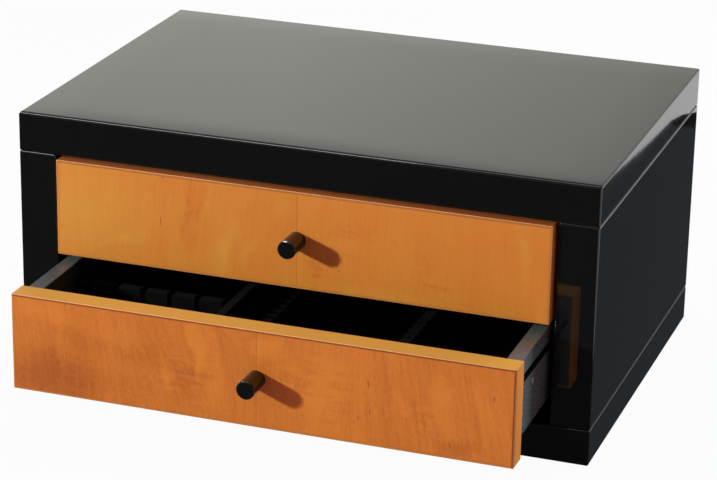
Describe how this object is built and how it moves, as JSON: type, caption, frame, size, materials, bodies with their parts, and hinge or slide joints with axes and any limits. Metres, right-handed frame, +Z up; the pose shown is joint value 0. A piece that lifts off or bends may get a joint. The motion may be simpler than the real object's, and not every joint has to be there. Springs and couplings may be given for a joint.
{
  "type": "cutlery chest",
  "caption": "Black lacquered tabletop chest with stacked wood-fronted drawers on side runners, racked inside to store table cutlery.",
  "frame": {"origin": "centre of the case's underside, on the face of the base felt", "axes": "+X to the right as seen from the front, -Y towards the drawer fronts, +Z up"},
  "size_m": [0.45, 0.4165, 0.215],
  "materials": {
    "black_lacquer": "high gloss lacquer over fibreboard",
    "knob_lacquer": "high gloss lacquer over turned hardwood",
    "wood_veneer": "satin varnish",
    "wood_lipping": "satin varnish",
    "board": "raw fibreboard",
    "black_box_wood": "satin black stain and varnish",
    "runner_wood": "waxed hardwood, stained black",
    "dowel_wood": "raw beech",
    "black_felt": "felt",
    "flocked_wood": "black flock over wood",
    "steel": "zinc plated",
    "nylon": "natural nylon",
    "rubber": "matt"
  },
  "bodies": {
    "case": {"top_cap": "black_lacquer", "base_slab": "black_lacquer", "left_panel": "black_lacquer", "right_panel": "black_lacquer", "back_panel": "black_lacquer", "base_felt": "black_felt", "cap_dowels": "dowel_wood", "base_dowels": "dowel_wood", "base_screws": "steel", "back_screws": "steel", "rear_bumpers": "rubber", "runner_screws": "steel", "stop_pegs": "nylon", "lower_left_runner": "runner_wood", "lower_right_runner": "runner_wood", "upper_left_runner": "runner_wood", "upper_right_runner": "runner_wood"},
    "lower_drawer": {"lower_front_core": "board", "lower_front_lippings": "wood_lipping", "lower_front_veneers": "wood_veneer", "lower_front_backing": "wood_veneer", "lower_left_side": "black_box_wood", "lower_right_side": "black_box_wood", "lower_box_back": "black_box_wood", "lower_box_bottom": "black_box_wood", "lower_felt_lining": "black_felt", "lower_front_dowels": "dowel_wood", "lower_back_dowels": "dowel_wood", "lower_cams": "steel", "lower_cam_bolts": "steel", "lower_stop_pins": "steel", "lower_knob": "knob_lacquer", "lower_knob_screw": "steel", "lower_long_divider": "black_box_wood", "lower_handle_rack": "flocked_wood", "lower_neck_rack": "flocked_wood", "lower_front_knife_rack": "flocked_wood", "lower_rear_knife_rack": "flocked_wood"},
    "upper_drawer": {"upper_front_core": "board", "upper_front_lippings": "wood_lipping", "upper_front_veneers": "wood_veneer", "upper_front_backing": "wood_veneer", "upper_left_side": "black_box_wood", "upper_right_side": "black_box_wood", "upper_box_back": "black_box_wood", "upper_box_bottom": "black_box_wood", "upper_felt_lining": "black_felt", "upper_front_dowels": "dowel_wood", "upper_back_dowels": "dowel_wood", "upper_cams": "steel", "upper_cam_bolts": "steel", "upper_stop_pins": "steel", "upper_knob": "knob_lacquer", "upper_knob_screw": "steel", "upper_long_divider": "black_box_wood", "upper_handle_rack": "flocked_wood", "upper_neck_rack": "flocked_wood", "upper_front_knife_rack": "flocked_wood", "upper_rear_knife_rack": "flocked_wood"}
  },
  "joints": [
    {"name": "upper_drawer_slide", "type": "slide", "parent": "case", "child": "upper_drawer", "axis": [0, -1, 0], "range_m": [0, 0.2]},
    {"name": "lower_drawer_slide", "type": "slide", "parent": "case", "child": "lower_drawer", "axis": [0, -1, 0], "range_m": [-0.08, 0.12]}
  ]
}
